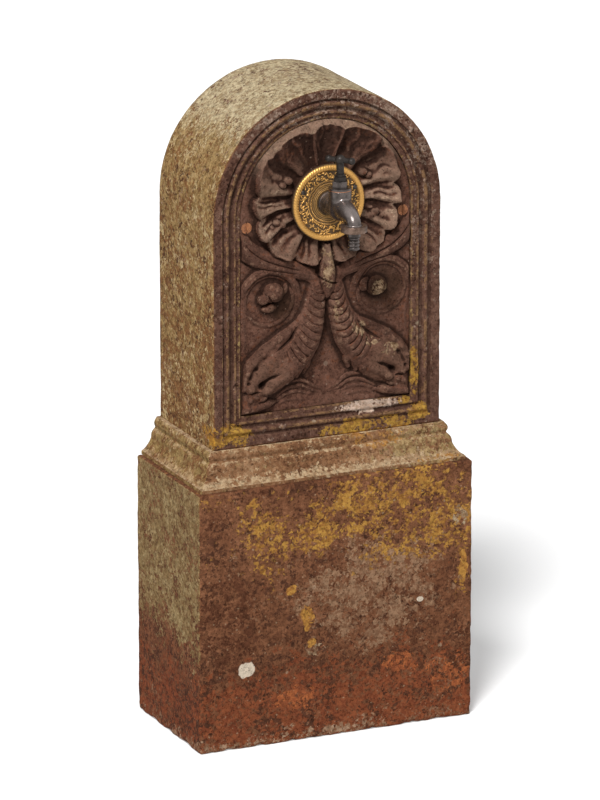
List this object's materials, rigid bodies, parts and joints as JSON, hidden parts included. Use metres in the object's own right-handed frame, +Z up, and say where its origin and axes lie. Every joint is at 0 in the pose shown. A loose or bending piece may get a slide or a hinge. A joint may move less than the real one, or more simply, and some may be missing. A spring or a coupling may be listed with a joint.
{
  "type": "garden fountain",
  "caption": "Cast iron wall-side garden fountain: box plinth, moulded cap and round-headed hood with a dolphin and shell relief panel, gilt escutcheon and bib tap with hose union.",
  "frame": {"origin": "middle of the plinth's foot, the centre of its four holding-down holes, on the ground plane", "axes": "+Z up, -Y out of the front with the tap, +X to the right seen from the front"},
  "size_m": [0.446, 0.3105, 0.987],
  "materials": {
    "plinth_iron": "rusted, lichen-grown, gritty",
    "cap_iron": "weathered, lichen-grown",
    "hood_iron": "weathered, grey-green lichen",
    "panel_iron": "dark rust brown, dull",
    "rusty_steel": "rusted",
    "gilt_brass": "gilt, darkened in the hollows",
    "dark_steel": "blackened",
    "dark_bronze": "dark satin patina",
    "copper_ring": "dull copper",
    "packing": "greased hemp",
    "inner_brass": "plain",
    "seal_rubber": "matt",
    "galvanised_steel": "galvanised"
  },
  "bodies": {
    "fountain": {"plinth_casing": "plinth_iron", "moulded_cap": "cap_iron", "hood_casing": "hood_iron", "relief_panel": "panel_iron", "panel_screws": "rusty_steel", "escutcheon": "gilt_brass", "escutcheon_screws": "dark_steel", "tap_body": "dark_bronze", "bonnet": "dark_bronze", "bonnet_washer": "copper_ring", "gland_packing": "packing", "gland_nut": "dark_bronze", "back_washer": "inner_brass", "back_nut": "inner_brass", "inlet_elbow": "galvanised_steel", "riser_pipe": "galvanised_steel", "supply_socket": "galvanised_steel", "pipe_bush": "seal_rubber", "tie_bolts": "rusty_steel", "tie_washers": "rusty_steel", "tie_nuts": "rusty_steel"},
    "valve": {"jumper_valve": "inner_brass", "jumper_washer": "seal_rubber", "jumper_nut": "inner_brass"},
    "spindle": {"spindle": "dark_bronze", "crutch_handle": "dark_bronze", "handle_pin": "dark_steel"},
    "tail": {"hose_tail": "dark_bronze", "union_washer": "seal_rubber"},
    "nut": {"union_nut": "dark_bronze"}
  },
  "joints": [
    {"name": "spindle_rise", "type": "slide", "parent": "fountain", "child": "valve", "axis": [0, 0, 1], "range_m": [0, 0.00625]},
    {"name": "handle_turn", "type": "hinge", "parent": "valve", "child": "spindle", "pos_m": [0, -0.126, 0.892], "axis": [0, 0, 1], "range_deg": [0, 900]},
    {"name": "tail_drop", "type": "slide", "parent": "fountain", "child": "tail", "axis": [0, 0, -1], "range_m": [0, 0.00453]},
    {"name": "union_nut_turn", "type": "hinge", "parent": "tail", "child": "nut", "pos_m": [0, -0.174, 0.798], "axis": [0, 0, -1], "range_deg": [0, 900]}
  ],
  "couplings": [
    {"joint": "handle_turn", "follows": "spindle_rise", "rad_per_m": 2513.3},
    {"joint": "union_nut_turn", "follows": "tail_drop", "rad_per_m": 3463.7}
  ]
}
